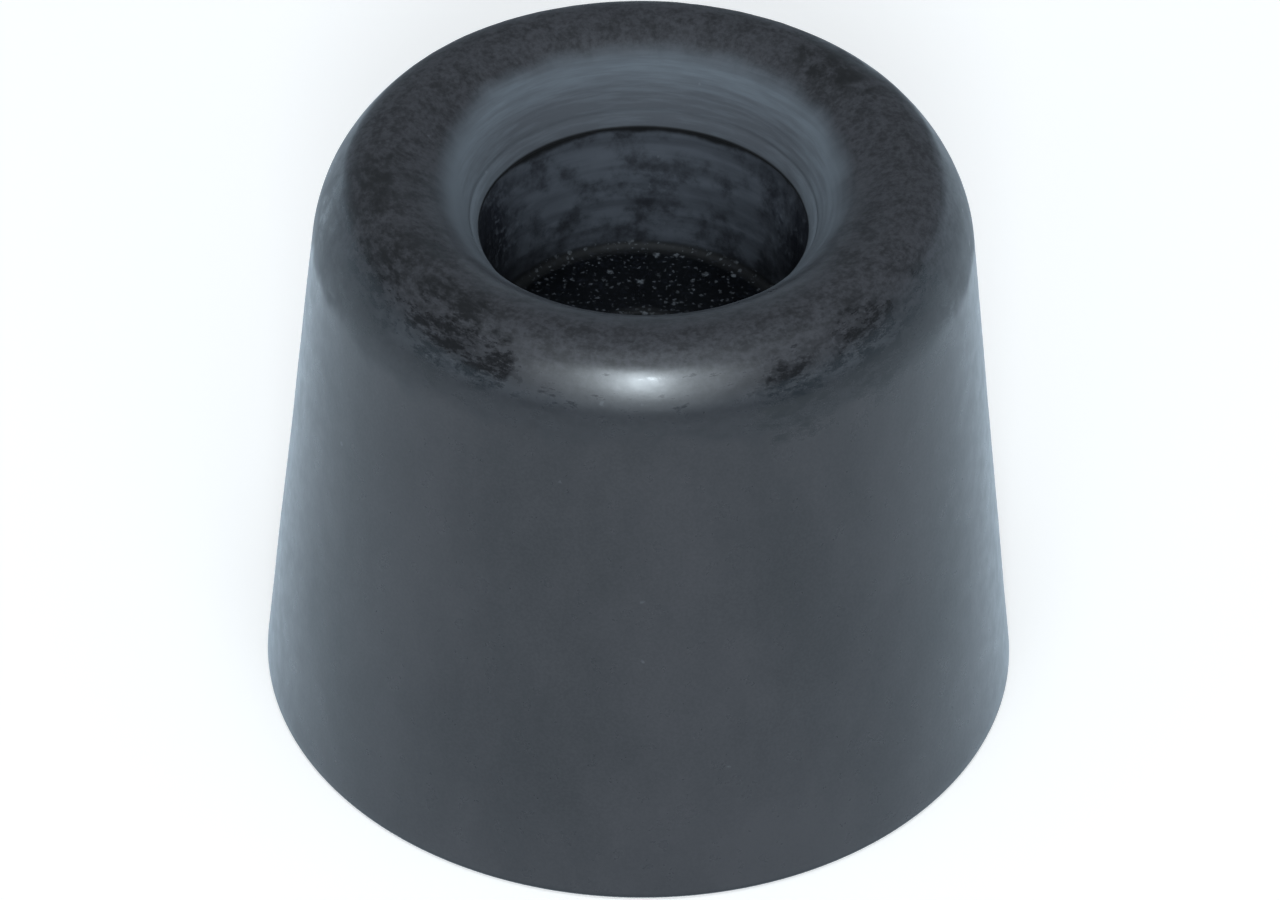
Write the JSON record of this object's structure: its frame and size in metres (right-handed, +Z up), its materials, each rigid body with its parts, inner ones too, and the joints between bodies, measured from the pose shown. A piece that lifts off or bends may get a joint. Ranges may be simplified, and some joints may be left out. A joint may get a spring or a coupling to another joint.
{
  "type": "rubber door buffer",
  "caption": "Tapered round rubber buffer with a rounded ring top and a dished mouth leading to a screw head pocket and screw hole; stops a door at a wall or floor.",
  "frame": {"origin": "centre of the flat base, on the buffer's axis", "axes": "+Z up the axis, from the flat base to the ring top; X and Y lie in the base and are alike"},
  "size_m": [0.04, 0.04, 0.0322],
  "materials": {
    "rubber": "matte moulded rubber with a faint grey bloom and scuffed smudges on the ring top"
  },
  "bodies": {
    "root": {"rubber_buffer": "rubber"}
  },
  "joints": []
}
